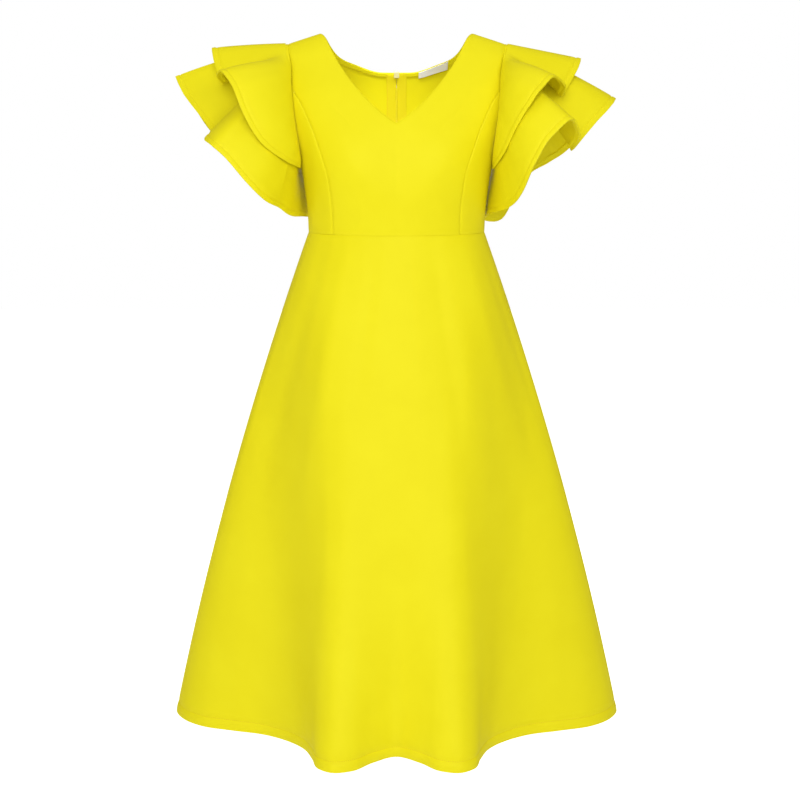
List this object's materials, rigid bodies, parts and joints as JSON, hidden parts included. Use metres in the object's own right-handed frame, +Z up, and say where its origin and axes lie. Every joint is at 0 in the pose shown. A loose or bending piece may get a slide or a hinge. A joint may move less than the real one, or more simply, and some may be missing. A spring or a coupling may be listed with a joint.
{
  "type": "cocktail dress",
  "caption": "Calf-length flared dress in bright yellow knit with a V neck, princess-seamed bodice, layered flounce sleeves and a centre-back zip, standing filled out.",
  "frame": {"origin": "middle of the shoulder line, between the two shoulder seams, where the dress hangs from a hanger", "axes": "+Z up, the front of the dress faces -Y, +X is the viewer's right"},
  "size_m": [0.702, 0.5312, 1.0559],
  "materials": {
    "yellow_knit": "smooth dense knit, matt",
    "label_cloth": "smooth woven ribbon, bare",
    "zip_tape": "fine woven tape",
    "zip_metal": "pale yellow enamel"
  },
  "bodies": {
    "dress": {"bodice_front_centre": "yellow_knit", "bodice_front_side_left": "yellow_knit", "bodice_front_side_right": "yellow_knit", "bodice_back_left": "yellow_knit", "bodice_back_right": "yellow_knit", "skirt_front": "yellow_knit", "skirt_back_left": "yellow_knit", "skirt_back_right": "yellow_knit", "flounce_lower_left": "yellow_knit", "flounce_lower_right": "yellow_knit", "flounce_upper_left": "yellow_knit", "flounce_upper_right": "yellow_knit", "neck_band_left": "yellow_knit", "neck_band_right": "yellow_knit", "label": "label_cloth", "zip_tape_left": "zip_tape", "zip_tape_right": "zip_tape", "zip_slider": "zip_metal"},
    "pull": {"zip_pull": "zip_metal"}
  },
  "joints": [
    {"name": "pull_hinge", "type": "hinge", "parent": "dress", "child": "pull", "pos_m": [0, 0.06734, -0.05012], "axis": [1, 0, 0], "range_deg": [0, 160]}
  ]
}
